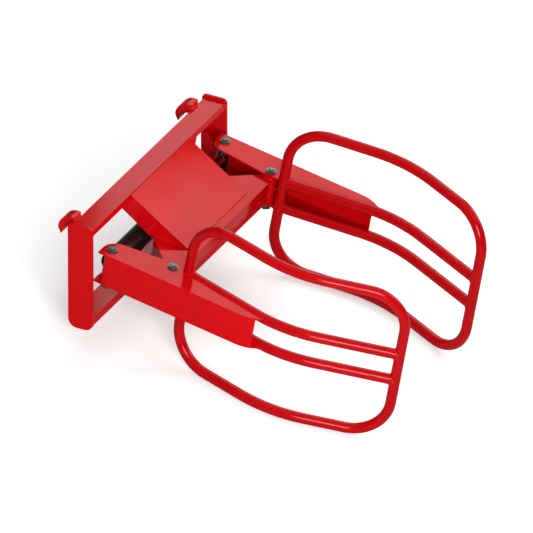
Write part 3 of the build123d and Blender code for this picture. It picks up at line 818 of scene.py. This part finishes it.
@dataclass
class Cylinder:
    """The hydraulic cylinder: eased ends, welds, wiper and a turned gland."""

    steelwork: Steelwork
    barrel_radius: float = 47.5 * MM
    rod_radius: float = 22.5 * MM
    running: float = 0.3 * MM
    easing: float = 0.9 * MM
    bead: WeldBead = field(default_factory=lambda: WeldBead(radius=2.6 * MM))
    cap_weld_sunk: float = 0.4 * MM
    collar_length: float = 10 * MM
    collar_step: float = 7.5 * MM
    collar_chamfers: tuple[float, float] = (1.0 * MM, 2.0 * MM)
    chamfer: float = 1.5 * MM
    face_ring: float = 9 * MM
    groove_width: float = 5 * MM
    groove_depth: float = 4 * MM
    wiper_lip: tuple[tuple[float, float], ...] = ((5.0, 1.2), (3.0, 0.9), (0.6, 0.0), (0.0, 0.8))
    turned_faces: int = 96

    def build(self) -> None:
        """Build every piece of the cylinder."""
        ends = ["barrel_eye", "barrel_cap", "barrel_ports"]
        self.steelwork.dress(ends, Body.BARREL, BLACK_ENAMEL, self.easing)
        self.steelwork.dress(["rod_eye"], Body.ROD, BLACK_ENAMEL, self.easing)
        self.weld_barrel()
        self.weld_rod()
        self.gland()

    def weld_barrel(self) -> None:
        """Weld the cap to the barrel and the ports to its wall."""
        mesh = bmesh.new()
        centre = middle("barrel_tube")
        seam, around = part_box("barrel_cap")[1].x, self.barrel_radius - self.cap_weld_sunk
        self.bead.lay(mesh, [
            Vector((seam, centre.y + around * across, centre.z + around * up))
            for across, up in arc(*ALL_ROUND)
        ])
        low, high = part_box("barrel_ports")
        radius = (high.z - low.z) / 2
        for x in (low.x + radius, high.x - radius):
            self.bead.lay(mesh, [
                Vector((
                    x + radius * along,
                    centre.y + math.sqrt(self.barrel_radius ** 2 - (radius * up) ** 2),
                    centre.z + radius * up,
                ))
                for along, up in arc(*ALL_ROUND)
            ])
        publish("barrel_welds", mesh, BLACK_ENAMEL, Body.BARREL)

    def weld_rod(self) -> None:
        """Weld the rod to its eye."""
        mesh = bmesh.new()
        eye = middle("rod_eye")
        low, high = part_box("rod_eye")
        radius, rod = (high.x - low.x) / 2, self.rod_radius
        self.bead.lay(mesh, [
            Vector((
                eye.x - math.sqrt(radius ** 2 - (rod * across) ** 2),
                eye.y + rod * across,
                eye.z + rod * up,
            ))
            for across, up in arc(*ALL_ROUND)
        ])
        publish("rod_eye_weld", mesh, BLACK_ENAMEL, Body.ROD)

    def gland(self) -> None:
        """Turn the gland with its chamfers, and fit a rubber wiper round the rod."""
        low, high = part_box("gland")
        centre = middle("gland")
        place = Matrix.Translation((low.x, centre.y, centre.z)) @ Matrix.Rotation(QUARTER_TURN, 4, "Y")
        length, outer, bore = high.x - low.x, self.barrel_radius, self.rod_radius + self.running
        lip, inner = length - self.collar_length, outer - self.collar_step
        back, front = self.collar_chamfers
        sunk, groove = length - self.chamfer, bore + self.groove_width
        bottom = length - self.groove_depth
        body = turned([
            (bore, 0.0), (inner - self.chamfer, 0.0), (inner, self.chamfer), (inner, lip),
            (outer - back, lip), (outer, lip + back), (outer, length - front), (outer - front, length),
            (bore + self.face_ring, length), (bore + self.face_ring - 1.0 * MM, sunk),
            (groove, sunk), (groove, bottom), (bore, bottom),
        ], steps=self.turned_faces, closed=True)
        bmesh.ops.transform(body, matrix=place, verts=body.verts[:])
        publish("gland_turned", body, BLACK_ENAMEL, Body.BARREL, ["gland"])
        lip_points = [(bore + out * MM, length - sink * MM) for out, sink in self.wiper_lip]
        wiper = turned(
            [(bore, bottom), (groove, bottom), *lip_points], steps=self.turned_faces, closed=True
        )
        bmesh.ops.transform(wiper, matrix=place, verts=wiper.verts[:])
        publish("rod_wiper", wiper, SEAL_RUBBER, Body.BARREL)


@dataclass(frozen=True)
class Softbox:
    """A square softbox."""

    name: str
    place: tuple[float, float, float]
    size: float
    power: float


@dataclass
class Studio:
    """Pale floor, soft light and the camera.

    The pairs of floor_tone, floor_glow and world_strength hold the value for
    reflections and bounced light, then the one for what the camera sees.
    """

    aim: tuple[float, float, float] = (0.0460, 0.0674, 0.2830)
    towards_camera: tuple[float, float, float] = (-0.7577, -0.3045, 0.5772)
    image_right: tuple[float, float, float] = (0.4669, -0.8709, 0.1535)
    distance: float = 105.0
    view_width: float = 2.221
    sensor: float = 36.0
    clip: tuple[float, float] = (1.0, 1050.0)
    floor_half: float = 60.0
    floor_drop: float = 0.5 * MM
    floor_roughness: float = 0.9
    floor_tone: tuple[float, float] = (0.45, 0.93)
    floor_glow: tuple[float, float] = (0.0, 0.28)
    world_strength: tuple[float, float] = (0.12, 0.95)
    white: tuple[float, float, float, float] = (1.0, 1.0, 1.0, 1.0)
    softboxes: tuple[Softbox, ...] = (
        Softbox("overhead_softbox", (0.0, 0.0, 5.0), 7.0, 90.0),
        Softbox("opposite_softbox", (4.2, 1.7, 3.2), 3.4, 90.0),
        Softbox("forward_softbox", (4.2, -2.4, 3.0), 3.0, 115.0),
        Softbox("key_softbox", (-5.0, -2.7, 3.0), 2.8, 365.0),
    )

    def floor(self) -> None:
        """Lay a wide pale floor under the loops."""
        mesh = bmesh.new()
        bmesh.ops.create_grid(mesh, x_segments=1, y_segments=1, size=self.floor_half)
        data = bpy.data.meshes.new("studio_floor")
        mesh.to_mesh(data)
        mesh.free()
        material = bpy.data.materials.new("pale_floor")
        material.use_nodes = True
        shader = material.node_tree.nodes["Principled BSDF"]
        for_camera(material.node_tree, shader.inputs["Base Color"], *self.floor_tone)
        for_camera(material.node_tree, shader.inputs["Emission Strength"], *self.floor_glow)
        shader.inputs["Roughness"].default_value = self.floor_roughness
        shader.inputs["Specular IOR Level"].default_value = 0.0
        shader.inputs["Emission Color"].default_value = self.white
        data.materials.append(material)
        floor = bpy.data.objects.new("studio_floor", data)
        floor.location = (0.0, 0.0, -self.floor_drop)
        bpy.context.scene.collection.objects.link(floor)

    def light(self) -> None:
        """Set even pale surroundings and hang the softboxes."""
        world = bpy.data.worlds.new("studio")
        world.use_nodes = True
        backdrop = world.node_tree.nodes["Background"]
        backdrop.inputs["Color"].default_value = self.white
        for_camera(world.node_tree, backdrop.inputs["Strength"], *self.world_strength)
        bpy.context.scene.world = world
        for softbox in self.softboxes:
            self.hang(softbox)

    def hang(self, softbox: Softbox) -> None:
        """Hang one softbox so that it faces the clamp.

        Args:
            softbox: Its name, place, side in metres and power in watts.
        """
        lamp = bpy.data.lights.new(softbox.name, "AREA")
        lamp.shape = "SQUARE"
        lamp.size = softbox.size
        lamp.energy = softbox.power
        holder = bpy.data.objects.new(softbox.name, lamp)
        spot = Vector(softbox.place)
        holder.matrix_world = Matrix.Translation(spot) @ (
            (spot - Vector(self.aim)).to_track_quat("Z", "Y").to_matrix().to_4x4()
        )
        bpy.context.scene.collection.objects.link(holder)

    def camera(self) -> None:
        """Set the long-lens camera and the plain colour rendering."""
        back = Vector(self.towards_camera).normalized()
        right = Vector(self.image_right).normalized()
        up = back.cross(right)
        data = bpy.data.cameras.new("camera")
        data.type = "PERSP"
        data.sensor_width = self.sensor
        data.lens = self.sensor * self.distance / self.view_width
        data.clip_start, data.clip_end = self.clip
        camera = bpy.data.objects.new("camera", data)
        place = Matrix((right, up, back)).transposed().to_4x4()
        place.translation = Vector(self.aim) + back * self.distance
        camera.matrix_world = place
        bpy.context.scene.collection.objects.link(camera)
        bpy.context.scene.camera = camera
        bpy.context.scene.view_settings.view_transform = "Standard"


def main() -> None:
    """Build the clamp's looks in order."""
    logging.basicConfig(level=logging.INFO, format="%(message)s")
    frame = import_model()
    record = frame["record"]
    slots = {entry["node"]: entry["material_slot"] for entry in record["subparts"]}
    for node, item in frame["nodes"].items():
        # Loops and rails take the red paint darkened with painted shade; every other node takes the
        # finish of its slot.
        finish = TUBE_PAINT_WITH_PAINTED_SHADE if node.endswith(TUBE_NODES) else FINISH_OF_SLOT[slots[node]]
        item.data.materials.clear()
        item.data.materials.append(finish.material())

    steelwork = Steelwork(frame["nodes"])
    Headstock(steelwork).build()
    for side in Side:
        GrippingArm(side, steelwork).build()
    Cylinder(steelwork).build()

    studio = Studio()
    studio.floor()
    studio.light()
    studio.camera()


if __name__ == "__main__":
    main()
